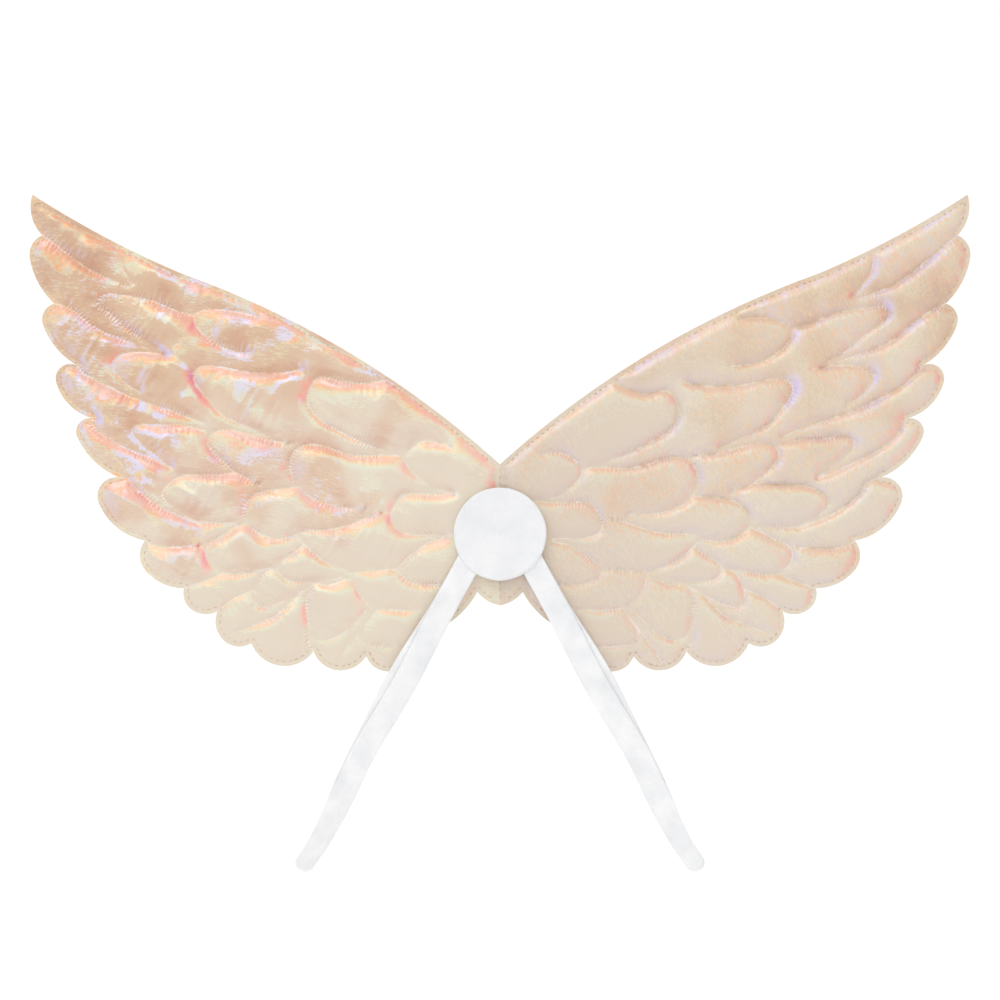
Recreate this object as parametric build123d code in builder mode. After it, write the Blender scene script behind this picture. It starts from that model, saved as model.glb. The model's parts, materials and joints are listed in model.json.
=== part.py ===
"""Padded fairy wings that a child wears on the back.

Two quilted fabric wings meet at a centre seam. A round felt pad covers the sewn ends of two elastic
arm loops and rests on the wearer's back. Every wing is a foam sheet between two fabric covers, whose
edges are sewn together in a flat scalloped rim.

Frame: +Z up, the wings spread along X, and -Y points at the wearer. The origin is the centre of the
felt pad's outer face. Left is -X and right is +X, as seen from the pad's side.

The fabric bends beside the pad, so each cover, foam sheet and edge seam is cut there into an inner
piece on the hub and an outer piece on the wing. The cut is FOLD_GAP wide.
"""

import math
import os

from build123d import *

# Depths along Y, from the felt pad's face towards the back of the wings.
PAD_THICKNESS = 4.0
GLUE_THICKNESS = 0.4
COVER_THICKNESS = 0.5
FOAM_THICKNESS = 6.2
FRONT_Y = PAD_THICKNESS + GLUE_THICKNESS
FOAM_FRONT_Y = FRONT_Y + COVER_THICKNESS
MIDDLE_Y = FOAM_FRONT_Y + FOAM_THICKNESS / 2
FOAM_BACK_Y = FOAM_FRONT_Y + FOAM_THICKNESS
BACK_Y = FOAM_BACK_Y + COVER_THICKNESS

# Outline of the right wing as (x, z): the leading edge, then the scalloped trailing edge.
SEAM_TOP = (0.0, 35.0)
SEAM_BOTTOM = (0.0, -36.0)
LEADING_ARCH = (80.0, 93.6)
LEADING_TURN = (160.0, 130.8)
LEADING_HOLLOW = (197.5, 148.6)
TIP = (235.0, 170.5)
TIP_SIDE = (235.6, 161.0)
# The notches between feathers, from the tip round to the centre.
NOTCHES = [
    (230.0, 150.0),
    (224.0, 115.7),
    (212.5, 84.6),
    (204.8, 58.0),
    (191.4, 28.3),
    (178.5, -3.4),
    (158.8, -27.4),
    (142.0, -39.0),
    (125.0, -55.0),
    (93.7, -59.1),
    (67.2, -61.5),
    (38.0, -47.0),
    (11.4, -29.2),
]
# The point of each feather between two notches that stands out furthest.
FEATHER_CRESTS = [
    (236.3, 138.5),
    (229.6, 104.8),
    (223.0, 76.0),
    (212.4, 48.6),
    (201.6, 15.5),
    (178.3, -18.2),
    (154.8, -38.2),
    (138.8, -53.6),
    (110.5, -66.3),
    (81.4, -68.6),
    (51.0, -68.0),
    (25.5, -44.8),
]
SEAM_TAIL = (5.0, -34.4)

# The flat rim and the seam in it.
RIM_WIDTH = 4.5
FOAM_CHAMFER = 1.5
STITCH_INSET = 2.0
THREAD_WIDTH = 0.6
THREAD_HEIGHT = 0.35
SEAM_CLEAR = 3.2

# The folds beside the pad.
FOLD_X = 27.0
FOLD_GAP = 0.8

# Felt pad.
PAD_RADIUS = 23.25
PAD_EDGE_FILLET = 1.2
GLUE_RADIUS = 22.0

# Elastic arm loops.
STRAP_WIDTH = 12.0
STRAP_THICKNESS = 1.2
STRAP_ANGLE = 28.7
STRAP_AXIS_OFFSET = 8.0
PAD_TO_HINGE = 4.0
LOOP_LENGTH = 169.5
LOOP_RADIUS = 7.0
LOOP_SLIT_START = 8.0
SLIT_RADIUS = 0.05
HINGE_GAP = 0.4
TAB_LENGTH = 18.0
TAB_CLEARANCE = 0.1
TAB_Y = PAD_THICKNESS - 2 * STRAP_THICKNESS

# Bar tacks that sew the strap ends to the front covers.
TACK_COUNT = 3
TACK_PITCH = 4.0
TACK_LENGTH = 8.0
THREAD_RADIUS = 0.3

SIDES = {"left": -1, "right": 1}
ZONES = ["inner", "outer"]


def depth_plane(y):
    """The sketch plane at depth y, with local x along X, local y along Z and its normal along -Y."""
    return Plane.XZ.offset(-y)


def strap_plane(side):
    """The plane through a strap's hinge: local x runs down the strap, local y is +Y, local z its width."""
    lean = math.radians(STRAP_ANGLE)
    down = Vector(side * math.sin(lean), 0, -math.cos(lean))
    across = Vector(math.cos(lean), 0, side * math.sin(lean))
    centre_line = Vector(side * STRAP_AXIS_OFFSET, 0, 0)
    along = -centre_line.dot(down) + math.sqrt(
        centre_line.dot(down) ** 2 - STRAP_AXIS_OFFSET**2 + PAD_RADIUS**2
    )
    hinge = centre_line + down * (along + PAD_TO_HINGE)
    return Plane(origin=(hinge.X, TAB_Y, hinge.Z), x_dir=down, z_dir=across)


def feather_edge(start, crest, end):
    """Two arcs from notch to notch that share a tangent at the crest, parallel to the notches' chord."""
    chord = Vector(*end) - Vector(*start)
    TangentArc([crest, start], tangent=(-chord.X, -chord.Y))
    TangentArc([crest, end], tangent=(chord.X, chord.Y))


def wing_outline():
    """The right wing's cut shape, from the centre seam to the tip."""
    with BuildSketch() as outline:
        with BuildLine():
            ThreePointArc(SEAM_TOP, LEADING_ARCH, LEADING_TURN)
            ThreePointArc(LEADING_TURN, LEADING_HOLLOW, TIP)
            ThreePointArc(TIP, TIP_SIDE, NOTCHES[0])
            for start, crest, end in zip(NOTCHES, FEATHER_CRESTS, NOTCHES[1:]):
                feather_edge(start, crest, end)
            ThreePointArc(NOTCHES[-1], SEAM_TAIL, SEAM_BOTTOM)
            Line(SEAM_BOTTOM, SEAM_TOP)
        make_face()
    return outline.sketch


def inset(outline, distance):
    """The outline moved inwards."""
    with BuildSketch() as smaller:
        add(outline)
        offset(amount=-distance, mode=Mode.REPLACE)
    return smaller.sketch


def puffed_block(outline, front_y, back_y, edge_chamfer):
    """The outline as a block between two depths, with its front and back edges chamfered."""
    with BuildPart() as block:
        with BuildSketch(depth_plane(back_y)):
            add(outline)
        extrude(amount=back_y - front_y)
        chamfer(block.faces().filter_by(Axis.Y).edges(), length=edge_chamfer)
    return block.part


def cover_shell(outline, foam):
    """Both covers of a wing in one: a skin around the foam with a flat rim at mid-depth."""
    skin = inset(outline, RIM_WIDTH - COVER_THICKNESS)
    with BuildPart() as shell:
        add(puffed_block(skin, FRONT_Y, BACK_Y, FOAM_CHAMFER))
        with BuildSketch(depth_plane(MIDDLE_Y + COVER_THICKNESS)):
            add(outline)
        extrude(amount=2 * COVER_THICKNESS)
        add(foam, mode=Mode.SUBTRACT)
    return shell.part


def edge_seam_line(outline):
    """The thread that sews the two covers together, on the front of the rim."""
    with BuildPart() as line:
        with BuildSketch(depth_plane(MIDDLE_Y - COVER_THICKNESS)):
            add(inset(outline, STITCH_INSET))
            add(inset(outline, STITCH_INSET + THREAD_WIDTH), mode=Mode.SUBTRACT)
            Rectangle(2 * SEAM_CLEAR, 4 * PAD_RADIUS, mode=Mode.SUBTRACT)
        extrude(amount=THREAD_HEIGHT)
    return line.part


def half_depth(shell, keep):
    """The front or back half of a wing's shell."""
    with BuildPart() as half:
        add(shell)
        split(bisect_by=depth_plane(MIDDLE_Y), keep=keep)
    return half.part


def cut_at_fold(layer, zone, side):
    """The part of a right-hand layer on one side of the fold, mirrored for the left wing."""
    hub_zone = zone == "inner"
    fold_x = FOLD_X - FOLD_GAP / 2 if hub_zone else FOLD_X + FOLD_GAP / 2
    with BuildPart() as piece:
        add(layer)
        split(bisect_by=Plane.YZ.offset(fold_x), keep=Keep.BOTTOM if hub_zone else Keep.TOP)
        if side < 0:
            mirror(about=Plane.YZ, mode=Mode.REPLACE)
    return piece


def felt_pad():
    """The round pad on the wearer's back, with a slot behind it for each strap end and its tacks."""
    with BuildPart() as pad:
        with BuildSketch(depth_plane(PAD_THICKNESS)):
            Circle(PAD_RADIUS)
        extrude(amount=PAD_THICKNESS)
        fillet(pad.faces().sort_by(Axis.Y)[0].edges(), radius=PAD_EDGE_FILLET)
        for side in SIDES.values():
            slot_start = -(PAD_TO_HINGE + TAB_LENGTH + TAB_CLEARANCE)
            slot_front = -(2 * THREAD_RADIUS + TAB_CLEARANCE)
            slot_back = PAD_THICKNESS - TAB_Y
            with BuildSketch(strap_plane(side)):
                with Locations((slot_start, slot_front)):
                    Rectangle(-slot_start, slot_back - slot_front, align=(Align.MIN, Align.MIN))
            extrude(amount=STRAP_WIDTH / 2 + TAB_CLEARANCE, both=True, mode=Mode.SUBTRACT)
    return pad


def pad_glue():
    """The film of glue that holds the pad and the strap ends to the front covers."""
    with BuildPart() as glue:
        with BuildSketch(depth_plane(FRONT_Y)):
            Circle(GLUE_RADIUS)
        extrude(amount=GLUE_THICKNESS)
    return glue


def strap_end(side):
    """The two sewn ends of one elastic band, lying flat on each other under the pad."""
    with BuildPart() as end:
        with BuildSketch(strap_plane(side)):
            with Locations((-PAD_TO_HINGE - TAB_LENGTH, 0)):
                Rectangle(TAB_LENGTH + PAD_TO_HINGE, 2 * STRAP_THICKNESS, align=(Align.MIN, Align.MIN))
        extrude(amount=STRAP_WIDTH / 2, both=True)
    return end


def bar_tacks(side):
    """The stitches across the strap end, in front of it."""
    plane = strap_plane(side)
    first = -PAD_TO_HINGE - TAB_LENGTH + TACK_PITCH
    with BuildPart() as tacks:
        with BuildSketch(plane):
            for row in range(TACK_COUNT):
                with Locations((first + row * TACK_PITCH, -THREAD_RADIUS)):
                    Circle(THREAD_RADIUS)
        extrude(amount=TACK_LENGTH / 2, both=True)
    return tacks


def arm_loop(side):
    """One elastic band as a closed loop: its rear leg hangs straight and its front leg stands off it."""
    end_x = LOOP_LENGTH - LOOP_RADIUS
    end_y = 2 * STRAP_THICKNESS - LOOP_RADIUS
    plane = strap_plane(side)
    with BuildPart() as loop:
        with BuildSketch(plane) as outside:
            with Locations((HINGE_GAP, 0)):
                Rectangle(STRAP_THICKNESS, 2 * STRAP_THICKNESS, align=(Align.MIN, Align.MIN))
            with Locations((end_x, end_y)):
                Circle(LOOP_RADIUS)
            make_hull(outside.edges())
        extrude(amount=STRAP_WIDTH / 2, both=True)
        with BuildSketch(plane) as inside:
            with Locations((LOOP_SLIT_START, STRAP_THICKNESS)):
                Circle(SLIT_RADIUS)
            with Locations((end_x, end_y)):
                Circle(LOOP_RADIUS - STRAP_THICKNESS)
            make_hull(inside.edges())
        extrude(amount=STRAP_WIDTH / 2, both=True, mode=Mode.SUBTRACT)
    return loop


def centre_seam():
    """The thread that joins the two wings where their rims meet."""
    length = SEAM_TOP[1] - SEAM_BOTTOM[1] - 2 * STITCH_INSET
    with BuildPart() as seam:
        with BuildSketch(depth_plane(MIDDLE_Y - COVER_THICKNESS)):
            with Locations((0, (SEAM_TOP[1] + SEAM_BOTTOM[1]) / 2)):
                Rectangle(THREAD_WIDTH, length)
        extrude(amount=THREAD_HEIGHT)
    return seam


def wing_layers():
    """The layers of a whole right wing, by the name of the piece that each one is cut into."""
    outline = wing_outline()
    foam = puffed_block(inset(outline, RIM_WIDTH), FOAM_FRONT_Y, FOAM_BACK_Y, FOAM_CHAMFER)
    shell = cover_shell(outline, foam)
    return {
        "front_cover": half_depth(shell, Keep.TOP),
        "foam": foam,
        "back_cover": half_depth(shell, Keep.BOTTOM),
        "edge_seam": edge_seam_line(outline),
    }


def save(piece, name):
    """Labels a finished piece and writes its STEP file."""
    piece.part.label = name
    export_step(piece.part, f"parts/{name}.step")


os.makedirs("parts", exist_ok=True)

for layer_name, layer in wing_layers().items():
    for side_name, side in SIDES.items():
        for zone in ZONES:
            save(cut_at_fold(layer, zone, side), f"{side_name}_{zone}_{layer_name}")

save(centre_seam(), "centre_seam")
save(felt_pad(), "felt_pad")
save(pad_glue(), "pad_glue")

for side_name, side in SIDES.items():
    save(strap_end(side), f"{side_name}_strap_end")
    save(bar_tacks(side), f"{side_name}_bar_tacks")
    save(arm_loop(side), f"{side_name}_arm_loop")
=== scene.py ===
"""Looks of a pair of quilted fairy wings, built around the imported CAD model.

Each wing is a front cover of iridescent satin and a back cover, with wadding between them, quilted along
the outlines of embossed feathers and sewn together in a flat rim. The pattern is drawn for the right wing
(+X) in millimetres as (x, z) and mirrored for the left, where the quilting lies a little further out and
up. Depth is y: -Y faces the wearer and the camera.
"""

import json
import math

import bpy
import numpy as np
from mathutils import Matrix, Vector, kdtree
from mathutils.geometry import delaunay_2d_cdt


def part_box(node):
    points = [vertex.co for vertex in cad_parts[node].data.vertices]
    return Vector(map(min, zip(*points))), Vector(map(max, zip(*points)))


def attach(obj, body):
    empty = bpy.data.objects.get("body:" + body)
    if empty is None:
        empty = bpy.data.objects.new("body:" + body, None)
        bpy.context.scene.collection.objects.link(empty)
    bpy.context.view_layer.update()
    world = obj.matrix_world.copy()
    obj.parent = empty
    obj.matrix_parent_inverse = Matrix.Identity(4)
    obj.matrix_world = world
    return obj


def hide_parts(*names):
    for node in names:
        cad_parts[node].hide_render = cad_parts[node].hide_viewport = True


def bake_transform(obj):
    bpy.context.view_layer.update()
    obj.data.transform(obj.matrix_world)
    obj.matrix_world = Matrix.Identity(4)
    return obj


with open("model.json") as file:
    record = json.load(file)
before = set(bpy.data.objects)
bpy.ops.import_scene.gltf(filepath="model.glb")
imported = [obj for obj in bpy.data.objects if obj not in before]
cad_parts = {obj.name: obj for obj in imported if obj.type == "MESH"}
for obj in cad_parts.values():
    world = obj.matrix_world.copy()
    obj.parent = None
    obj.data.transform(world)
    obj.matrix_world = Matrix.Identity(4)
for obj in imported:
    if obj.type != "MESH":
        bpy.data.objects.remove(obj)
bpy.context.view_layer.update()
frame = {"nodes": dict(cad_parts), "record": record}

MM = 0.001
SIDES = {"left": -1, "right": 1}

# ---------------------------------------------------------------- sizes, in mm

JOINTS = {joint["name"]: joint for joint in frame["record"]["behaviour"]["joints"]}
MIDDLE_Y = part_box("right_outer_front_cover")[1].y / MM
BACK_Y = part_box("right_outer_back_cover")[1].y / MM
PAD_LOW, PAD_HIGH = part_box("felt_pad")
PAD_RADIUS = (PAD_HIGH.x - PAD_LOW.x) / 2 / MM
PAD_THICKNESS = PAD_HIGH.y / MM
STRAP_THICKNESS = (PAD_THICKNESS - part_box("right_strap_end")[0].y / MM) / 2

SPACING = 1.0
WADDING_SPACING = 2.5

# The wing's cut outline, with the same points as the CAD model's.
SEAM_TOP = (0, 35)
SEAM_BOTTOM = (0, -36)
LEADING_ARCH = (80, 93.6)
LEADING_TURN = (160, 130.8)
LEADING_HOLLOW = (197.5, 148.6)
TIP = (235, 170.5)
TIP_SIDE = (235.6, 161)
NOTCHES = [
    (230, 150), (224, 115.7), (212.5, 84.6), (204.8, 58), (191.4, 28.3), (178.5, -3.4),
    (158.8, -27.4), (142, -39), (125, -55), (93.7, -59.1), (67.2, -61.5), (38, -47), (11.4, -29.2),
]
FEATHER_CRESTS = [
    (236.3, 138.5), (229.6, 104.8), (223, 76), (212.4, 48.6), (201.6, 15.5), (178.3, -18.2),
    (154.8, -38.2), (138.8, -53.6), (110.5, -66.3), (81.4, -68.6), (51, -68), (25.5, -44.8),
]
SEAM_TAIL = (5, -34.4)

# The quilting grooves between feathers: first those that run in from the notches, then the outlines of
# the covert feathers, row by row from the leading edge down.
GROOVES = [
    [(230, 150), (223, 144.5), (213.5, 136.5), (201, 127), (189.5, 121.5), (179.5, 117.5)],
    [(224, 115.7), (215, 111), (206.5, 105), (197.5, 97.5), (185.5, 92), (166, 85)],
    [(212.5, 84.6), (206, 77.5), (196.5, 71), (180.5, 63), (162.5, 56.5), (142, 49)],
    [(204.8, 58), (199, 48.5), (185.5, 39.5), (169.5, 32), (159.5, 27.5)],
    [(191.4, 28.3), (184.5, 26), (181, 20.5), (174, 14.5), (165.5, 9), (149, 2.5)],
    [(178.5, -3.4), (174, -6), (165, -7.5), (149.5, -7)],
    [(158.8, -27.4), (148, -23.5), (138, -20)],
    [(142, -39), (133.5, -32.5), (123, -28)],
    [(135, -50.5), (122.5, -45.5), (112.5, -41), (104.5, -33.5), (98, -28.5)],
    [(93.7, -59.1), (96.5, -53.5), (97, -47)],
    [(81.5, -65), (74.5, -54), (69, -47), (62.5, -39)],
    [(188, 139.5), (186, 130.5), (181, 123.5), (177, 119)],
    [(120.5, 108), (131, 108.5), (140.5, 106.5), (146.5, 103), (145.5, 97.5), (138.5, 90.5), (128.5, 85.5),
     (115, 84)],
    [(56.5, 77), (64.5, 72.5), (73.5, 70), (83.5, 72), (89, 66), (89, 57.5), (83, 50.5), (71, 43.5),
     (57.5, 37.5), (43, 32.5)],
    [(146.5, 103), (155.5, 105.5), (168, 110.5), (180.5, 113), (192, 114), (195, 111), (193.5, 107.5),
     (185.5, 101.5), (177, 94), (164.5, 86)],
    [(157, 82.5), (167, 84), (176, 84.5), (184, 83), (187.5, 79.5), (185.5, 74.5), (180.5, 68.5),
     (174, 64.5)],
    [(141.5, 45), (151.5, 47.5), (165, 48), (174.5, 48.5), (178, 46), (176.5, 42), (170, 36),
     (159.5, 28.5)],
    [(127.5, 25), (137, 24.5), (148, 24.5), (157, 23), (163, 19), (165.5, 15.5), (163, 11.5), (157, 7.5),
     (148, 3.5), (130, 3)],
    [(89, 77.5), (97.5, 75), (106.5, 74), (120, 74.5), (131.5, 77), (142.5, 77.5), (147, 74), (146, 69),
     (140.5, 61.5), (133.5, 54), (123.5, 48.5), (110, 43)],
    [(97, 39), (107, 40), (115.5, 42), (126.5, 45), (135.5, 45), (140, 41.5), (139, 36.5), (132.5, 30),
     (126.5, 25), (115.5, 20.5)],
    [(125.5, 3), (132, 0.5), (139, -3.5), (145, -6), (147, -10.5), (145.5, -15.5), (140.5, -19),
     (132.5, -20.5), (115, -17.5)],
    [(45, 33), (54.5, 33.5), (65.5, 33), (74.5, 35), (81.5, 37.5), (89.5, 38.5), (96, 36), (99.5, 29.5),
     (98.5, 22.5), (94, 16.5), (87, 12.5), (78, 10), (64.5, 9.5)],
    [(95, 19), (108, 18), (117, 16.5), (123.5, 12.5), (126, 7.5), (124, 2), (118, -2), (110, -4),
     (100, -2.5)],
    [(97.5, -6.5), (103, -10.5), (109, -14), (111.5, -18.5), (107.5, -23), (99.5, -24.5), (90.5, -24.5),
     (79.5, -22)],
    [(113, -18), (118.5, -20), (121.5, -25.5), (123, -31), (122.5, -35), (118.5, -37), (111, -35),
     (103, -31), (97, -27.5)],
    [(21, 39.5), (26, 41), (32.5, 40), (38, 36.5), (41.5, 31.5), (39, 26.5), (32.5, 21), (25.5, 17.5),
     (16.5, 16)],
    [(56.5, 7.5), (63.5, 5.5), (72.5, 2.5), (81.5, 0.5), (90.5, 0), (97.5, -0.5), (100, -3), (96.5, -7),
     (90.5, -12.5), (83, -16.5), (75, -19), (63.5, -18.5), (52, -18)],
    [(78, -23), (86, -26), (93.5, -25.5), (97, -31), (97, -39), (96, -46), (93, -52), (87, -53.5),
     (79.5, -50.5), (72.5, -44.5), (67, -38)],
    [(23.5, 15.5), (30.5, 15.5), (39.5, 16), (46, 14.5), (49.5, 10.5), (52, 5), (48.5, -0.5), (41.5, -2),
     (25.5, -2.5)],
    [(27, -4), (35, -6), (41, -9.5), (47.5, -14), (50.5, -18.5), (47.5, -23), (41, -25.5), (28, -25.5)],
    [(74, -19.5), (73, -25.5), (70.5, -30.5), (67, -34.5), (61, -37.5), (50, -38.5), (39.5, -38)],
    [(62.5, -39), (67, -45.5), (69.5, -50), (68, -55), (60, -56.5), (49.5, -57)],
]

# The left wing's quilting lies further out and up than the right's, except low down and at the rim.
LEFT_SHIFT = (7.0, 6.5)

# The quilted relief: the rim is flat, and the cloth inside it rises to the pillow height.
COVER_THICKNESS = 0.45
RIM_LIFT = 0.5
RIM_FACES = ((MIDDLE_Y - RIM_LIFT, -1), (MIDDLE_Y + RIM_LIFT, 1))
LEADING_RIM = 2.8
LOBE_RIM = 2.6
PILLOW_HEIGHT = 2.5
PILLOW_EXTRA = 1.2
SIDE_EXTRA = {-1: 2.0, 1: 0.2}
BACK_PILLOW_HEIGHT = 2.9
WADDING_RISE = {"front": PILLOW_HEIGHT - 1.4, "back": BACK_PILLOW_HEIGHT - 1.2}
RIM_CRINKLE = 0.1
LOOSENESS = {-1: 2.1, 1: 0.8}
BACK_LOOSENESS = 0.7
LEAN = 0.12
LEAN_DIRECTION = (0.35, -0.94)
RELAX_STEPS = 420
EDGE_REACH = {"left": 6.5, "right": 3.6}
BACK_EDGE_REACH = 3.6

# The cloth under and beside the pad stays behind it.
PAD_REGION = (62, 30)
PAD_ROOM = 0.45

# Stitches.
STITCH_INSET = 2.3
STITCH_PITCH = 3.3
STITCH_LENGTH = 2.1
THREAD_RADIUS = 0.2


# ---------------------------------------------------------------- plane curves

def arc(start, end, tangent, spacing):
    """Points from start up to, but not at, end, on the arc that leaves start along tangent."""
    a, b = np.array(start, float), np.array(end, float)
    t = np.array(tangent, float) / np.hypot(*tangent)
    n = np.array((-t[1], t[0]))
    side, ahead = (b - a) @ n, (b - a) @ t
    turn = 2 * math.atan2(side, ahead)
    radius = (b - a) @ (b - a) / (2 * side)
    centre = a + n * radius
    count = max(2, round(abs(radius * turn) / spacing))
    angle = np.arange(count)[:, None] / count * turn
    arm = a - centre
    return centre + np.cos(angle) * arm + np.sin(angle) * np.array((-arm[1], arm[0]))


def arc_through(start, middle, end, spacing):
    """Points from start up to, but not at, end, on the arc through middle."""
    a, m, b = (np.array(p, float) for p in (start, middle, end))
    chord, first = b - a, m - a
    cross = first[0] * chord[1] - first[1] * chord[0]
    along = (first @ first * chord - chord @ chord * first)
    centre = a + np.array((along[1], -along[0])) / (2 * cross)
    arm = a - centre
    tangent = np.array((-arm[1], arm[0]))
    if tangent @ first < 0:
        tangent = -tangent
    return arc(start, end, tangent, spacing)


def straight(start, end, spacing):
    """Points from start up to, but not at, end, on the line between them."""
    a, b = np.array(start, float), np.array(end, float)
    count = max(1, round(np.hypot(*(b - a)) / spacing))
    return a + (b - a) * (np.arange(count)[:, None] / count)


def wing_outline(spacing):
    """The outline from the top of the seam, round the tip and back, with the rim's width at each point."""
    leading = [arc_through(SEAM_TOP, LEADING_ARCH, LEADING_TURN, spacing),
               arc_through(LEADING_TURN, LEADING_HOLLOW, TIP, spacing)]
    lobes = [arc_through(TIP, TIP_SIDE, NOTCHES[0], spacing)]
    for start, crest, end in zip(NOTCHES, FEATHER_CRESTS, NOTCHES[1:]):
        chord = np.array(end) - np.array(start)
        lobes.append(arc(crest, start, -chord, spacing)[:0:-1])
        lobes[-1] = np.vstack((np.array(start, float), lobes[-1]))
        lobes.append(arc(crest, end, chord, spacing))
    lobes.append(arc_through(NOTCHES[-1], SEAM_TAIL, SEAM_BOTTOM, spacing))
    lobes.append(straight(SEAM_BOTTOM, SEAM_TOP, spacing))
    leading, lobes = np.vstack(leading), np.vstack(lobes)
    rim = np.concatenate((np.full(len(leading), LEADING_RIM), np.full(len(lobes), LOBE_RIM)))
    return np.vstack((leading, lobes)), rim


def run_along(points):
    """The distance from the first point to each point, along the line."""
    return np.concatenate(([0], np.cumsum(np.hypot(*np.diff(points, axis=0).T))))


def resample(points, spacing):
    """The polyline's points at even distances, ends included."""
    points = np.asarray(points, float)
    run = run_along(points)
    at = np.linspace(0, run[-1], max(2, round(run[-1] / spacing) + 1))
    return np.column_stack([np.interp(at, run, column) for column in points.T])


def smooth_line(points, spacing):
    """A Catmull-Rom curve through the points, resampled."""
    p = np.asarray(points, float)
    p = np.vstack((2 * p[0] - p[1], p, 2 * p[-1] - p[-2]))
    t = np.linspace(0, 1, 12, endpoint=False)[:, None]
    spans = []
    for a, b, c, d in zip(p, p[1:], p[2:], p[3:]):
        spans.append(0.5 * (2 * b + (c - a) * t + (2 * a - 5 * b + 4 * c - d) * t**2
                            + (3 * b - a - 3 * c + d) * t**3))
    return resample(np.vstack(spans + [p[-2:-1]]), spacing)


def inside(points, ring):
    """Which of the points lie inside the closed ring."""
    result = np.zeros(len(points), bool)
    x, z = points.T
    for (x0, z0), (x1, z1) in zip(ring, np.roll(ring, -1, axis=0)):
        if z0 != z1:
            crosses = (z0 > z) != (z1 > z)
            result ^= crosses & (x < (x1 - x0) * (z - z0) / (z1 - z0) + x0)
    return result


def search_tree(samples):
    """A tree that finds the samples nearest to a point."""
    tree = kdtree.KDTree(len(samples))
    for i, (x, z) in enumerate(samples):
        tree.insert((x, z, 0), i)
    tree.balance()
    return tree


def nearest(samples, points):
    """Index of the nearest sample, and its distance, for each point."""
    tree = search_tree(samples)
    found = [tree.find((x, z, 0)) for x, z in points]
    return np.array([f[1] for f in found]), np.array([f[2] for f in found])


def smooth_step(x, low, high):
    """0 up to low, 1 from high, and a smooth rise between."""
    t = np.clip((x - low) / (high - low), 0, 1)
    return t * t * (3 - 2 * t)


def patches(points, size, seed, angle=0.0, stretch=1.0):
    """Smooth value noise from -1 to 1 at the points. Stretch lengthens it along angle."""
    c, s = math.cos(angle), math.sin(angle)
    u = (points[:, 0] * c + points[:, 1] * s) / (size * stretch) + 100
    v = (points[:, 1] * c - points[:, 0] * s) / size + 100
    lattice = np.random.default_rng(seed).uniform(-1, 1, (4096,))
    i, j = np.floor(u).astype(int), np.floor(v).astype(int)
    fu, fv = u - i, v - j
    fu, fv = fu * fu * (3 - 2 * fu), fv * fv * (3 - 2 * fv)

    def corner(a, b):
        return lattice[(a * 1619 + b * 31337 + (a * b) % 977) % len(lattice)]

    top = corner(i, j) * (1 - fu) + corner(i + 1, j) * fu
    bottom = corner(i, j + 1) * (1 - fu) + corner(i + 1, j + 1) * fu
    return top * (1 - fv) + bottom * fv


# ---------------------------------------------------------------- the quilted pattern

def laid_groove(points, ring, side):
    """A groove's points where they lie on one wing."""
    points = np.array(points, float)
    if side < 0:
        free = smooth_step(nearest(ring, points)[1], 2, 18) * smooth_step(points[:, 1], -25, 45)
        points += free[:, None] * LEFT_SHIFT
    return points


def counter_clockwise(points, triangles):
    """The triangles, turned so that they run counter-clockwise in the plane."""
    first = points[triangles[0]]
    a, b = first[1] - first[0], first[2] - first[0]
    return triangles if a[0] * b[1] - a[1] * b[0] > 0 else triangles[:, ::-1]


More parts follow.
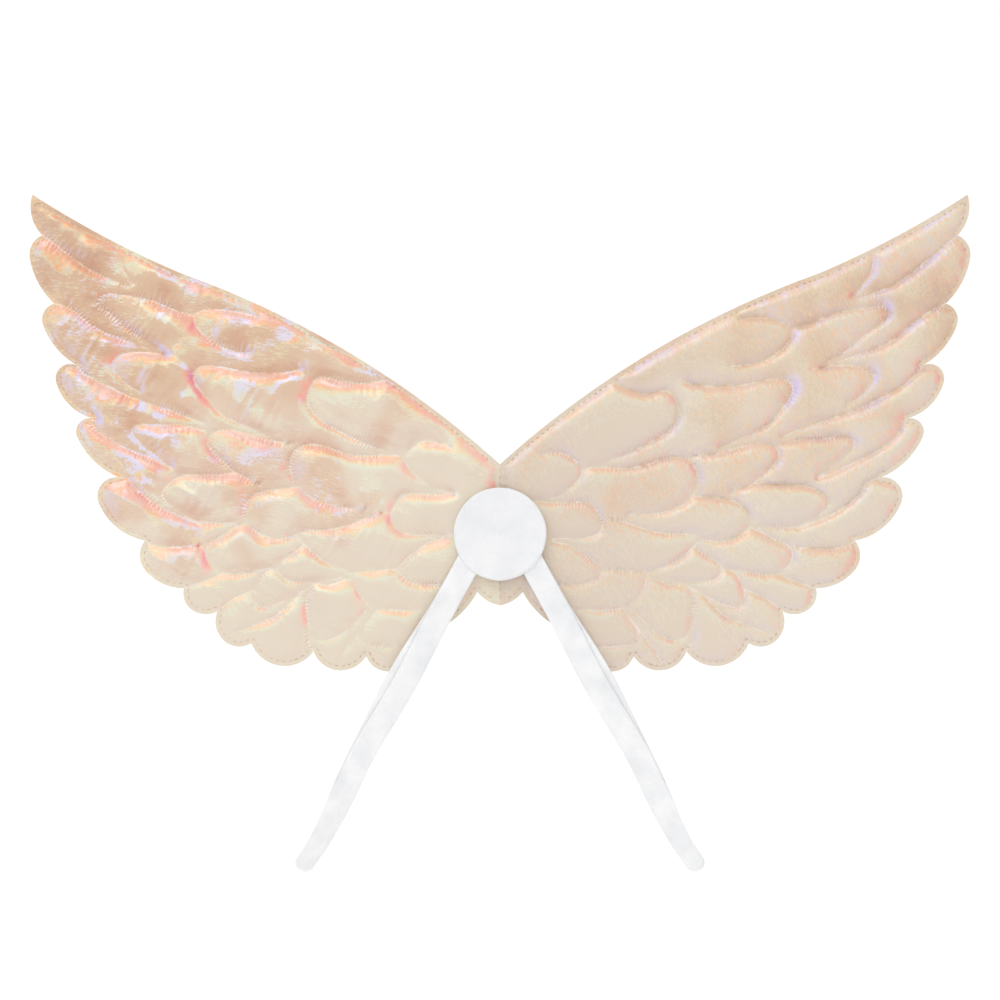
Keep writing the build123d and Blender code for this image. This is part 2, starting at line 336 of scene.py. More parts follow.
class Pattern:
    """The wing as a flat triangle mesh that follows its outline and grooves, with its relief solved."""

    def __init__(self, spacing, side):
        self.spacing = spacing
        self.ring, ring_rim = wing_outline(spacing)
        lines = [smooth_line(laid_groove(points, self.ring, side), spacing) for points in GROOVES]
        self.triangulate(lines)
        self.measure(ring_rim, lines)

    def triangulate(self, lines):
        """The triangles, with edges along the outline and the grooves."""
        spacing = self.spacing
        fixed = np.vstack([self.ring] + lines)
        low, high = self.ring.min(0), self.ring.max(0)
        columns = np.arange(low[0], high[0], spacing)
        rows = np.arange(low[1], high[1], spacing * math.sqrt(3) / 2)
        grid = np.vstack([np.column_stack((columns + spacing / 2 * (k % 2), np.full(len(columns), z)))
                          for k, z in enumerate(rows)])
        grid += np.random.default_rng(3).uniform(-0.12, 0.12, grid.shape) * spacing
        grid = grid[inside(grid, self.ring)]
        grid = grid[nearest(fixed, grid)[1] > 0.6 * spacing]
        count = len(self.ring)
        edges = [(i, (i + 1) % count) for i in range(count)]
        start = count
        for line in lines:
            edges += [(start + i, start + i + 1) for i in range(len(line) - 1)]
            start += len(line)
        points = [Vector(p) for p in np.vstack((fixed, grid))]
        made = delaunay_2d_cdt(points, edges, [], 1, 0.02 * spacing, True)
        self.points = np.array([tuple(p) for p in made[0]])
        triangles = np.array(made[2])
        triangles = triangles[inside(self.points[triangles].mean(1), self.ring)]
        self.triangles = counter_clockwise(self.points, triangles)
        # A vertex without an origin is where two grooves cross.
        self.in_groove = np.array([not old or any(count <= i < start for i in old) for old in made[3]])

    def measure(self, ring_rim, lines):
        """How far each vertex is from the edge and from the nearest groove, and where along it."""
        index, self.edge_distance = nearest(self.ring, self.points)
        self.rim = ring_rim[index]
        samples = np.vstack(lines)
        runs = np.concatenate([np.arange(len(line)) * self.spacing for line in lines])
        ends = np.concatenate([np.minimum(np.arange(len(line)), np.arange(len(line))[::-1]) * self.spacing
                               for line in lines])
        owner = np.concatenate([np.full(len(line), k) for k, line in enumerate(lines)])
        ends = np.where(self.crowded(samples, owner), 99, ends)
        index, self.groove_distance = nearest(samples, self.points)
        self.groove_run = runs[index]
        self.groove_end = ends[index]
        self.one_groove = smooth_step(self.lead_over_other_grooves(samples, owner), 0.6, 3.5)
        belongs = owner[index]
        a, b = np.vstack((self.triangles[:, :2], self.triangles[:, 1:], self.triangles[:, ::2])).T
        mixed = belongs[a] != belongs[b]
        self.one_groove[a[mixed]] = 0
        self.one_groove[b[mixed]] = 0

    def crowded(self, samples, owner):
        """Which groove samples are close to another groove."""
        result = np.zeros(len(samples), bool)
        for k in range(owner.max() + 1):
            mine = owner == k
            result[mine] = nearest(samples[~mine], samples[mine])[1] < 5
        return result

    def lead_over_other_grooves(self, samples, owner):
        """How much closer each vertex is to its nearest groove than to any other."""
        tree = search_tree(samples)
        lead = np.full(len(self.points), 9.0)
        for n, (x, z) in enumerate(self.points):
            found = tree.find_n((x, z, 0), 16)
            first = owner[found[0][1]]
            for _, i, distance in found[1:]:
                if owner[i] != first:
                    lead[n] = distance - found[0][2]
                    break
        return lead

    def inflate(self, reach):
        """Height of a membrane that the wadding lifts and the rim and grooves hold down, from 0 to 1.

        reach is how far, in mm, a held line keeps the cloth beside it low. The membrane leans, so that
        each feather rises steeply from the groove above it and falls gently to the one below.
        """
        n = len(self.points)
        t = self.triangles
        pairs = np.unique(np.sort(np.vstack((t[:, :2], t[:, 1:], t[:, ::2])), axis=1), axis=0)
        i, j = np.concatenate((pairs[:, 0], pairs[:, 1])), np.concatenate((pairs[:, 1], pairs[:, 0]))
        step = self.points[j] - self.points[i]
        weight = np.exp(LEAN * (step @ np.array(LEAN_DIRECTION)))
        total = np.bincount(i, weights=weight, minlength=n)
        pull = (step**2).sum(1)
        pull = np.bincount(i, weights=pull, minlength=n) / np.bincount(i, minlength=n) / (4 * reach**2)
        held = (self.edge_distance < self.rim) | self.in_groove
        fade = 0.5 * (1 - smooth_step(self.groove_end, 0, 7)) * smooth_step(self.edge_distance, 6, 12)
        value = np.where(self.in_groove, fade, 0.0)
        value[self.edge_distance < self.rim] = 0
        u = np.where(held, value, 0.5)
        for _ in range(int(RELAX_STEPS / self.spacing)):
            mean = np.bincount(i, weights=weight * u[j], minlength=n) / total
            u = np.where(held, value, (mean + pull) / (1 + pull))
        self.lift = u


def wrinkles(pattern, side, strength):
    """Creases of the stretched satin, in mm.

    They are puckers square to the grooves, puckers along the rim, pulled folds, creases and soft dents.
    """
    p, seed = pattern.points, 10 + side
    near = np.exp(-pattern.groove_distance / 3.2) * smooth_step(pattern.groove_distance, 0.1, 1.2)
    pucker = np.sin(pattern.groove_run * 1.9 + 2.5 * patches(p, 9, seed + 1))
    puckered = smooth_step(patches(p, 16, seed + 2), -0.1, 0.5) * pattern.one_groove
    edge = np.exp(-(pattern.edge_distance - pattern.rim).clip(0) / 3)
    fold = np.abs(patches(p, 4.2, seed + 3, angle=-1.05, stretch=4))
    folded = smooth_step(patches(p, 30, seed + 4), -0.2, 0.4)
    crease = np.abs(patches(p, 6, seed + 8, angle=0.5, stretch=3))
    creased = smooth_step(patches(p, 26, seed + 9), -0.25, 0.35)
    dent = patches(p, 17, seed + 5) + 0.5 * patches(p, 8, seed + 6)
    rim_pucker = edge * patches(p, 3, seed + 7)
    return strength * (0.34 * near * pucker * puckered + 0.42 * (0.5 - fold) * folded
                       + 0.5 * (0.4 - crease) * creased + 0.42 * dent + 0.14 * rim_pucker)


def front_depth(pattern, side):
    """Depth of the front cover's outer face at each vertex."""
    p = pattern.points
    far = smooth_step(np.hypot(p[:, 0], p[:, 1]), 55, 110)
    high = smooth_step(p[:, 1] + 0.25 * p[:, 0], -40, 60)
    rise = (PILLOW_HEIGHT + PILLOW_EXTRA * far + SIDE_EXTRA[side]) * (0.66 + 0.34 * high)
    loose = wrinkles(pattern, side, LOOSENESS[side]) * (0.45 + 0.55 * far) * (0.4 + 0.6 * high)
    lifted = pattern.lift * rise + smooth_step(pattern.lift, 0.03, 0.35) * loose
    crinkle = patches(p, 1.9, 31 + side, stretch=1.6) * smooth_step(pattern.edge_distance, 0.2, 1.0)
    crinkle *= RIM_CRINKLE * (1 - smooth_step(pattern.lift, 0.0, 0.3))
    depth = MIDDLE_Y - RIM_LIFT - lifted - crinkle
    near_pad = (p[:, 0] < PAD_REGION[0]) & (p[:, 1] < PAD_REGION[1])
    return np.where(near_pad, depth.clip(PAD_THICKNESS + PAD_ROOM), depth)


def back_depth(pattern, side):
    """Depth of the back cover's outer face at each vertex."""
    loose = wrinkles(pattern, 5 + side, BACK_LOOSENESS)
    lifted = pattern.lift * BACK_PILLOW_HEIGHT + smooth_step(pattern.lift, 0.03, 0.35) * loose * 0.5
    return (MIDDLE_Y + RIM_LIFT + lifted).clip(None, BACK_Y)


# ---------------------------------------------------------------- meshes

def placed(name, data):
    """An object in the scene for a mesh, light or camera."""
    obj = bpy.data.objects.new(name, data)
    bpy.context.scene.collection.objects.link(obj)
    return obj


def new_mesh(name, vertices, faces, material, attributes=None):
    """A smooth-shaded object from vertices in mm, with float attributes on its points."""
    mesh = bpy.data.meshes.new(name)
    mesh.from_pydata((np.asarray(vertices) * MM).tolist(), [], [list(map(int, f)) for f in faces])
    mesh.update()
    for key, values in (attributes or {}).items():
        layer = mesh.attributes.new(key, "FLOAT", "POINT")
        layer.data.foreach_set("value", np.asarray(values, np.float32))
    mesh.shade_smooth()
    mesh.set_sharp_from_angle(angle=math.radians(75))
    mesh.materials.append(material)
    return placed(name, mesh)


def skin(points, triangles, side, outer, inner):
    """Vertices and faces of a closed skin between two depths over counter-clockwise triangles."""
    x, z = points[:, 0] * side, points[:, 1]
    vertices = np.vstack((np.column_stack((x, outer, z)), np.column_stack((x, inner, z))))
    if (side > 0) != (outer.mean() < inner.mean()):
        triangles = triangles[:, ::-1]
    n = len(points)
    edges = set()
    for i, j, k in triangles.tolist():
        edges |= {(i, j), (j, k), (k, i)}
    walls = [(j, i, i + n, j + n) for i, j in sorted(edges) if (j, i) not in edges]
    return vertices, list(triangles) + [t[::-1] + n for t in triangles] + walls


def outward_normals(vertices, triangles):
    """The outward unit normal at each vertex of a sheet."""
    a, b, c = (vertices[triangles[:, k]] for k in range(3))
    normals = np.cross(b - a, c - a)
    total = np.zeros_like(vertices)
    for k in range(3):
        np.add.at(total, triangles[:, k], normals)
    return total / np.linalg.norm(total, axis=1)[:, None].clip(1e-9)


def swept_faces(count, ring):
    """Faces between count rings of vertices that lie one after another."""
    return [(k * ring + i, k * ring + (i + 1) % ring, (k + 1) * ring + (i + 1) % ring, (k + 1) * ring + i)
            for k in range(count - 1) for i in range(ring)]


def closed_sweep(count, ring):
    """The faces of a closed tube of count rings, ends included."""
    last = (count - 1) * ring
    return swept_faces(count, ring) + [tuple(range(ring))[::-1], tuple(range(last, last + ring))]


def tube(path, radius, sides=6):
    """Vertices and faces of a closed round tube along a short path. radius is one value per point."""
    path = np.asarray(path, float)
    along = np.gradient(path, axis=0)
    along /= np.linalg.norm(along, axis=1)[:, None]
    up = np.array((0, 1, 0.0))
    across = np.cross(along, up)
    across /= np.linalg.norm(across, axis=1)[:, None]
    up = np.cross(across, along)
    angle = np.arange(sides) / sides * 2 * math.pi
    rings = (path[:, None] + radius[:, None, None] * (np.cos(angle)[None, :, None] * across[:, None]
                                                      + np.sin(angle)[None, :, None] * up[:, None]))
    return rings.reshape(-1, 3), [face[::-1] for face in closed_sweep(len(path), sides)]


def merged(parts):
    """Vertices and faces of several closed parts as one."""
    vertices, faces, start = [], [], 0
    for part_vertices, part_faces in parts:
        vertices.append(part_vertices)
        faces += [tuple(i + start for i in face) for face in part_faces]
        start += len(part_vertices)
    return np.vstack(vertices), faces


def stitch_path(inset):
    """A line that runs inset from the outline and turns round the notches."""
    ring, _ = wing_outline(0.5)
    ahead = np.roll(ring, -1, axis=0) - ring
    ahead /= np.hypot(*ahead.T)[:, None]
    behind = np.roll(ahead, 1, axis=0)
    points = []
    for corner, before, after in zip(ring, behind, ahead):
        turn = math.atan2(before[0] * after[1] - before[1] * after[0], before @ after)
        steps = max(1, round(turn * inset / 0.5))
        for share in (np.arange(steps + 1) / steps if turn > 0.2 else (0.5,)):
            c, s = math.cos(turn * share), math.sin(turn * share)
            heading = np.array((before[0] * c - before[1] * s, before[0] * s + before[1] * c))
            points.append(corner + inset * np.array((heading[1], -heading[0])))
    points = np.array(points)
    points = points[nearest(ring, points)[1] > inset - 0.12]
    return resample(np.vstack((points, points[:1])), 0.25)


def stitches(path, y, sign, seed):
    """Separate stitches along a plane path, on the face at depth y. Their ends dip into the cloth."""
    random = np.random.default_rng(seed)
    run = run_along(path)
    parts = []
    count = int(run[-1] / STITCH_PITCH)
    for k in range(count):
        start = k * run[-1] / count + random.uniform(-0.15, 0.15)
        at = np.linspace(start, start + STITCH_LENGTH, 6)
        x = np.interp(at, run, path[:, 0]) + random.uniform(-0.06, 0.06)
        z = np.interp(at, run, path[:, 1]) + random.uniform(-0.06, 0.06)
        bow = np.sin(np.linspace(0.12, math.pi - 0.12, 6))
        depth = y + sign * (THREAD_RADIUS * 1.15 * bow - 0.12)
        radius = THREAD_RADIUS * (0.55 + 0.45 * bow)
        parts.append(tube(np.column_stack((x, depth, z)), radius))
    return parts


# ---------------------------------------------------------------- materials

class Nodes:
    """Short-hand for building one material's node tree. A value is a socket, a node or a constant."""

    def __init__(self, name):
        self.material = bpy.data.materials.new(name)
        self.material.use_nodes = True
        self.tree = self.material.node_tree
        self.shader = self.tree.nodes["Principled BSDF"]

    def add(self, kind, inputs=None, **settings):
        node = self.tree.nodes.new(kind)
        for key, value in settings.items():
            setattr(node, key, value)
        for key, value in (inputs or {}).items():
            self.feed(node.inputs[key], value)
        return node

    def feed(self, socket, value):
        if isinstance(value, bpy.types.NodeSocket):
            self.tree.links.new(value, socket)
        elif isinstance(value, bpy.types.Node):
            self.tree.links.new(value.outputs[0], socket)
        else:
            socket.default_value = value

    def math(self, operation, a, b=0.0, clamp=False):
        return self.add("ShaderNodeMath", {0: a, 1: b}, operation=operation, use_clamp=clamp).outputs[0]

    def plus(self, a, b):
        return self.math("ADD", a, b)

    def minus(self, a, b):
        return self.math("SUBTRACT", a, b)

    def times(self, a, b, clamp=False):
        return self.math("MULTIPLY", a, b, clamp)

    def ranged(self, value, low, high, to_low=0.0, to_high=1.0, kind="SMOOTHSTEP"):
        node = self.add("ShaderNodeMapRange", {0: value, 1: low, 2: high, 3: to_low, 4: to_high},
                        interpolation_type=kind)
        return node.outputs[0]

    def mapping(self, vector, scale=(1, 1, 1), rotation=(0, 0, 0)):
        inputs = {"Vector": vector, "Rotation": rotation, "Scale": scale}
        return self.add("ShaderNodeMapping", inputs).outputs[0]

    def position(self, scale=(1, 1, 1), rotation=(0, 0, 0)):
        return self.mapping(self.add("ShaderNodeTexCoord").outputs["Object"], scale, rotation)

    def noise(self, scale, detail=2.0, rough=0.5, vector=None, distortion=0.0):
        vector = self.position() if vector is None else vector
        node = self.add("ShaderNodeTexNoise", {"Vector": vector, "Scale": scale, "Detail": detail,
                                               "Roughness": rough, "Distortion": distortion})
        return node.outputs["Fac"]

    def attribute(self, name):
        return self.add("ShaderNodeAttribute", attribute_name=name).outputs["Fac"]

    def ramp(self, value, stops):
        node = self.add("ShaderNodeValToRGB", {"Fac": value})
        band = node.color_ramp.elements
        band[0].position, band[0].color = stops[0][0], linear(stops[0][1])
        band[1].position, band[1].color = stops[-1][0], linear(stops[-1][1])
        for at, colour in stops[1:-1]:
            band.new(at).color = linear(colour)
        return node.outputs["Color"]

    def mix(self, share, a, b, blend="MIX"):
        node = self.add("ShaderNodeMix", data_type="RGBA", blend_type=blend)
        for socket, value in (("Factor", share), ("A", a), ("B", b)):
            self.feed(node.inputs[socket], linear(value) if isinstance(value, tuple) else value)
        return node.outputs["Result"]

    def tint(self, colour, tone, share=1.0):
        return self.mix(share, colour, tone, "MULTIPLY")

    def bump(self, height, distance, strength=1.0, under=None):
        inputs = {"Height": height, "Distance": distance, "Strength": strength}
        if under is not None:
            inputs["Normal"] = under
        return self.add("ShaderNodeBump", inputs).outputs[0]

    def finish(self, **sockets):
        for key, value in sockets.items():
            self.feed(self.shader.inputs[key.replace("_", " ").title().replace("Ior", "IOR")], value)
        return self.material


def linear(colour):
    """A colour given as it is seen, 0 to 255 a channel, in the scene's linear values, with alpha."""
    return (*((channel / 255) ** 2.2 for channel in colour), 1)


# How the two wings' satin differs: the left wing is pulled harder and shows more colour. down and half_down
# are painted shade on downward slopes.
SATIN = {
    "left": {
        "reach_out": 2.4, "reach_start": 0.0, "least_pull": 0.22, "line_angle": -0.17, "fine_bump": 0.4,
        "clouds": 1.5, "fine_colour": 0.75, "tilt": 0.0, "gain": 1.5, "down": (218, 192, 174),
        "half_down": (225, 208, 189), "calm": (0.35, 0.0), "pink": 1.0625, "leftward": (0.14, 0.45),
        "warm": 0.84, "tan": (238, 198, 156), "down_slope_shade": 0.42, "tip": (1.05, 1.4), "dusk": (245, 238, 240),
        "metallic": 0.14,
    },
    "right": {
        "reach_out": 1.2, "reach_start": 0.12, "least_pull": 0.45, "line_angle": -1.13, "fine_bump": 0.56,
        "clouds": 0.5, "fine_colour": 2.3, "tilt": 0.06, "gain": 0.95, "down": (212, 192, 204),
        "half_down": (221, 206, 206), "calm": (0.45, 0.45), "pink": 0.765, "leftward": (0.08, 0.3),
        "warm": 0.52, "tan": (238, 205, 166), "down_slope_shade": 0.3, "tip": (1.05, 1.35), "dusk": (248, 243, 245),
        "metallic": 0.08,
    },
}
THREADS_PER_METRE = 8600.0


def satin_creases(m, look, reach, place):
    """The bumped normal and the height of the finest creases.

    They are puckers that cross the grooves, bundles of fine parallel lines, a crepe-like grain and the
    weave.
    """
    phase = m.plus(m.times(m.attribute("groove_run"), 3.4), m.times(m.noise(90, 2), 16))
    near = m.ranged(m.attribute("groove_distance"), 0.2, 4.0, 1.0, 0.0)
    pucker = m.times(m.math("SINE", phase), near)
    pucker = m.times(pucker, m.ranged(m.noise(60, 1), 0.42, 0.62))
    pucker = m.times(pucker, m.attribute("one_groove"))

    lines = m.mapping(m.position(rotation=(0, look["line_angle"], 0)), (300, 300, 1500))
    lines = m.minus(m.noise(1, 1, 0.5, lines, 0.5), 0.5)
    lines = m.times(lines, m.ranged(m.noise(26, 2), 0.42, 0.56, 0.1, 1.5))
    crepe = m.times(m.minus(m.noise(700, 3, 0.6), 0.5), 0.9)
    crepe = m.times(crepe, m.ranged(m.noise(45, 2), 0.35, 0.65, 0.2, 1.0))
    fine = m.times(m.plus(lines, crepe), m.ranged(reach, -0.1, 0.8, look["least_pull"], 1.0))

    warp, weft = (m.math("SINE", m.times(place.outputs[axis], THREADS_PER_METRE)) for axis in "XZ")
    bumped = m.bump(pucker, 0.00014, 0.8)
    bumped = m.bump(fine, 0.0003, look["fine_bump"], bumped)
    bumped = m.bump(m.times(warp, weft), 0.00001, 0.3, bumped)
    return bumped, fine


def film_colours(m, look, across, up):
    """The film's painted reflection and shade by upward slope: painted shade on downward slopes, a painted
    mint highlight and peach on upward ones, and painted pink and lavender on slopes to the right and left.
    """
    film = m.ramp(m.ranged(up, -0.7 / look["gain"], 0.9 / look["gain"], kind="LINEAR"), [
        (0.00, look["down"]), (0.22, look["half_down"]), (0.36, (227, 213, 194)), (0.45, (228, 214, 191)),
        (0.52, (231, 222, 198)), (0.58, (231, 234, 214)), (0.65, (240, 224, 184)), (0.73, (246, 204, 158)),
        (0.82, (248, 188, 156)), (0.90, (250, 196, 176)), (1.00, (251, 218, 210)),
    ])
    pink = m.ramp(m.ranged(across, 0.1, 1.1), [
        (0.0, (242, 202, 186)), (0.3, (250, 184, 172)), (0.6, (252, 162, 186)), (1.0, (240, 162, 222)),
    ])
    lavender = m.ramp(m.ranged(m.times(across, -1.0), 0.1, 0.8), [
        (0.0, (226, 214, 214)), (0.5, (216, 208, 244)), (1.0, (214, 196, 246)),
    ])
    return film, pink, lavender


def iridescent_satin(side_name):
    """Pearl-coated satin. The film's reflection and shade are painted into its colour by the slope of the
    cloth: upward slopes go through mint and yellow to peach, downward slopes are painted darker, slopes to
    the right go pink, slopes to the left lavender."""
    m = Nodes(f"{side_name}_pearl_satin")
    look = SATIN[side_name]

    # The cloth is pulled most towards the outer leading edge.
    place = m.add("ShaderNodeSeparateXYZ", {"Vector": m.position()})
    outward = m.times(place.outputs["X"], float(SIDES[side_name]))
    reach = m.plus(m.times(outward, look["reach_out"]), look["reach_start"])
    reach = m.plus(reach, m.times(place.outputs["Z"], 5.2))
    reach = m.plus(reach, m.times(m.minus(m.noise(30, 2), 0.5), 1.6))
    bumped, fine = satin_creases(m, look, reach, place)

    # Painted reflection and shade, by the slope of the flat-laid wing, to which the creases add.
    smooth = m.add("ShaderNodeNewGeometry").outputs["Normal"]
    creased = m.add("ShaderNodeVectorMath", {0: bumped, 1: smooth}, operation="SUBTRACT")
    creased = m.add("ShaderNodeSeparateXYZ", {"Vector": creased})
    across = m.plus(m.attribute("slope_across"), creased.outputs["X"])
    up = m.plus(m.attribute("slope_up"), creased.outputs["Z"])
    clouds = m.times(m.minus(m.noise(42, 3), 0.5), m.ranged(reach, -0.1, 0.8, look["least_pull"], 1.0))
    up = m.plus(up, m.times(clouds, look["clouds"]))
    up = m.plus(up, m.times(m.math("MAXIMUM", fine, -0.07), look["fine_colour"]))
    up = m.plus(up, look["tilt"])
    film, pink, lavender = film_colours(m, look, across, up)

    # The painted film reflection is calmer low on the wing, and the painted pink of slopes to the right
    # comes in spots.
    colour = m.mix(m.ranged(reach, 0.0, 0.7, *look["calm"]), film, (228, 219, 200))
    spots = m.ranged(m.noise(85, 2), 0.43, 0.56, 0.12, 1.0)
    colour = m.mix(m.times(m.times(m.ranged(across, 0.08, 0.45), spots), look["pink"], True), colour, pink)

    # A warmer tan where the cloth is pulled, and a darker tan painted as shade on level and downward
    # slopes.
    warm = m.ranged(reach, 0.2, 1.25, 0.0, look["warm"])
    if side_name == "right":
        warm = m.times(warm, m.ranged(m.noise(30, 3), 0.38, 0.62, 0.35, 1.4))
    down_slope_shade = m.times(m.ranged(up, -0.02, 0.12, 0.8, 0.0), warm)
    colour = m.tint(colour, look["tan"], m.times(down_slope_shade, look["down_slope_shade"]))
    colour = m.tint(colour, look["tan"], m.times(warm, 0.45))

    if side_name == "left":
        # Painted pearly highlights of mint and blue on the outer wing, on slopes that face up a little.
        pearly_highlight = m.times(m.ranged(m.noise(48, 4, 0.65, None, 0.6), 0.47, 0.53), m.ranged(reach, 0.2, 0.8))
        pearly_highlight = m.times(pearly_highlight, m.times(m.ranged(up, 0.0, 0.1), m.ranged(up, 0.5, 0.3)))
        pearly_highlight = m.times(pearly_highlight, m.ranged(reach, 1.3, 1.1))
        mint = m.ramp(m.noise(30, 2), [(0.46, (222, 228, 204)), (0.54, (224, 222, 252))])
        peach = m.times(m.ranged(reach, 0.3, 0.5), m.ranged(reach, 0.95, 0.7))
        colour = m.mix(m.times(pearly_highlight, 0.8), m.tint(colour, (254, 246, 243), peach), mint)
    else:
        # Orange streaks along the fine creases, and a greyer, darker tone near the pad, painted shade where
        # the inner wing faces away from the light.
        streaks = m.times(m.ranged(fine, 0.02, 0.2, 0.0, 0.45), m.ranged(reach, 0.2, 0.6))
        colour = m.mix(streaks, colour, (240, 196, 156))
        colour = m.tint(colour, (246, 241, 242), m.ranged(outward, 0.02, 0.14, 1.0, 0.4))

    # Painted lavender shade and highlight on slopes to the left, in blotches, most of them outwards, and a
    # darker tip.
    leftward = m.ranged(m.times(across, -1.0), *look["leftward"])
    leftward = m.times(leftward, m.ranged(m.noise(75, 2), 0.38, 0.58, 0.15, 1.0))
    leftward = m.times(leftward, m.ranged(reach, 0.3, 0.95, 0.4, 1.0))
    colour = m.mix(m.times(leftward, 0.8), colour, lavender)
    colour = m.tint(colour, look["dusk"], m.ranged(reach, *look["tip"]))

    # The pressed line of each groove catches the light in places.
    pressed = m.ranged(m.attribute("groove_distance"), 0.15, 0.6, 1.0, 0.0)
    pressed = m.times(pressed, m.ranged(m.noise(180, 2), 0.42, 0.6))
    colour = m.mix(m.times(pressed, 0.45), colour, (250, 238, 228))
    m.shader.inputs["Thin Film Thickness"].default_value = 420.0
    m.shader.inputs["Thin Film IOR"].default_value = 1.5
    return m.finish(base_color=colour, normal=bumped, metallic=look["metallic"], roughness=0.36,
                    specular_ior_level=0.6, sheen_weight=0.15, sheen_roughness=0.4)


def backing_satin(name):
    """Plain cream satin with a fine twill and a few soft creases."""
    m = Nodes(name)
    twill = m.add("ShaderNodeTexWave", {"Vector": m.position(rotation=(0, 0.8, 0)), "Scale": 420.0,
                                        "Distortion": 1.5, "Detail": 1.0}).outputs["Fac"]
    crease = m.noise(1, 2, 0.6, m.position((300, 300, 1500), (0, 0.5, 0)), 0.5)
    bumped = m.bump(twill, 0.00005, 0.4)
    bumped = m.bump(crease, 0.0006, 0.35, bumped)
    tone = m.ramp(m.noise(40, 4, 0.6), [(0.3, (222, 210, 196)), (0.7, (236, 226, 214))])
    return m.finish(base_color=tone, normal=bumped, roughness=0.42, sheen_weight=0.25, sheen_roughness=0.35)


def sewing_thread(name):
    """Beige twisted thread."""
    m = Nodes(name)
    ply = m.add("ShaderNodeTexWave", {"Vector": m.position(rotation=(0.6, 0.6, 0.3)), "Scale": 900.0,
                                      "Distortion": 2.0}).outputs["Fac"]
    tone = m.ramp(m.noise(160, 2), [(0.35, (196, 160, 128)), (0.65, (232, 208, 184))])
    return m.finish(base_color=tone, normal=m.bump(ply, 0.00008, 0.6), roughness=0.55, sheen_weight=0.3)


def white_felt(name):
    """Pressed white felt: matted fibres with a soft, uneven face."""
    m = Nodes(name)
    fibres = m.noise(1, 3, 0.7, m.position((1500, 1500, 420)), 1.6)
    matted = m.noise(900, 4, 0.7, None, 1.2)
    clouds = m.noise(60, 3, 0.5)
    bumped = m.bump(matted, 0.0005, 0.45)
    bumped = m.bump(fibres, 0.00035, 0.4, bumped)
    tone = m.ramp(m.plus(m.times(clouds, 0.6), m.times(matted, 0.4)),
                  [(0.3, (230, 231, 234)), (0.7, (247, 247, 248))])
    return m.finish(base_color=tone, normal=bumped, roughness=0.92, sheen_weight=0.5, sheen_roughness=0.6)


def woven_elastic(name):
    """White elastic band: fine lengthwise ribs crossed by a close weave."""
    m = Nodes(name)
    across = m.attribute("across")
    along = m.attribute("along")
    ribs = m.math("SINE", m.times(across, 2 * math.pi / 0.9))
    picks = m.math("SINE", m.times(along, 2 * math.pi / 0.55))
    weave = m.plus(ribs, m.times(picks, 0.7))
    bumped = m.bump(weave, 0.00006, 0.5)
    bumped = m.bump(m.noise(1500, 3, 0.6), 0.0002, 0.3, bumped)
    tone = m.ramp(m.noise(70, 3, 0.55), [(0.3, (234, 235, 237)), (0.7, (249, 249, 250))])
    return m.finish(base_color=tone, normal=bumped, roughness=0.6, sheen_weight=0.35, sheen_roughness=0.4)


def wadding_fibre(name):
    """White polyester wadding."""
    m = Nodes(name)
    tuft = m.noise(500, 5, 0.7, None, 1.0)
    tone = m.ramp(tuft, [(0.3, (226, 226, 222)), (0.7, (250, 250, 248))])
    return m.finish(base_color=tone, normal=m.bump(tuft, 0.001, 0.7), roughness=0.95, sheen_weight=0.5)


def hot_glue(name):
    """A film of dried hot-melt glue."""
    m = Nodes(name)
    blobs = m.noise(260, 3, 0.5)
    tone = m.ramp(blobs, [(0.3, (228, 220, 196)), (0.7, (244, 238, 220))])
    return m.finish(base_color=tone, normal=m.bump(blobs, 0.0008, 0.6), roughness=0.35)


def pale_floor(name):
    """A matt, nearly white floor."""
    m = Nodes(name)
    tone = m.ramp(m.noise(2, 2), [(0.3, (243.1, 243.1, 243.1)), (0.7, (245.5, 245.5, 245.5))])
    return m.finish(base_color=tone, roughness=0.9)


# ---------------------------------------------------------------- the quilted wings

def fold_blend(piece):
    """Bakes the piece's transform into its mesh."""
    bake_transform(piece)


def cover(pattern, side_name, layer, outer, inner, material):
    """One cover of a wing, in one piece across the fold, with the relief that its material needs."""
    vertices, faces = skin(pattern.points, pattern.triangles, SIDES[side_name], outer, inner)
    slope = outward_normals(vertices[:len(outer)], np.array(faces[:len(pattern.triangles)]))
    layers = {"slope_across": slope[:, 0], "slope_up": slope[:, 2]}
    for key in ("groove_distance", "groove_run", "one_groove"):
        layers[key] = getattr(pattern, key)
    layers = {key: np.tile(values, 2) for key, values in layers.items()}
    piece = new_mesh(f"{side_name}_{layer}_cloth", vertices, faces, material, layers)
    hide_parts(f"{side_name}_inner_{layer}", f"{side_name}_outer_{layer}")
    fold_blend(piece)


def wadding(pattern, side_name, material):
    """The filling of a wing, a little inside both covers, in one piece across the fold."""
    filled = pattern.edge_distance > pattern.rim - 0.4
    triangles = pattern.triangles[filled[pattern.triangles].all(1)]
    order, index = np.unique(triangles, return_inverse=True)
    lift = pattern.lift[order] * smooth_step(pattern.edge_distance[order] - pattern.rim[order], 0, 4)
    front = MIDDLE_Y - 0.04 - lift * WADDING_RISE["front"]
    back = MIDDLE_Y + 0.04 + lift * WADDING_RISE["back"]
    shape = skin(pattern.points[order], index.reshape(-1, 3), SIDES[side_name], front, back)
    piece = new_mesh(f"{side_name}_wadding", *shape, material)
    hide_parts(f"{side_name}_inner_foam", f"{side_name}_outer_foam")
    fold_blend(piece)


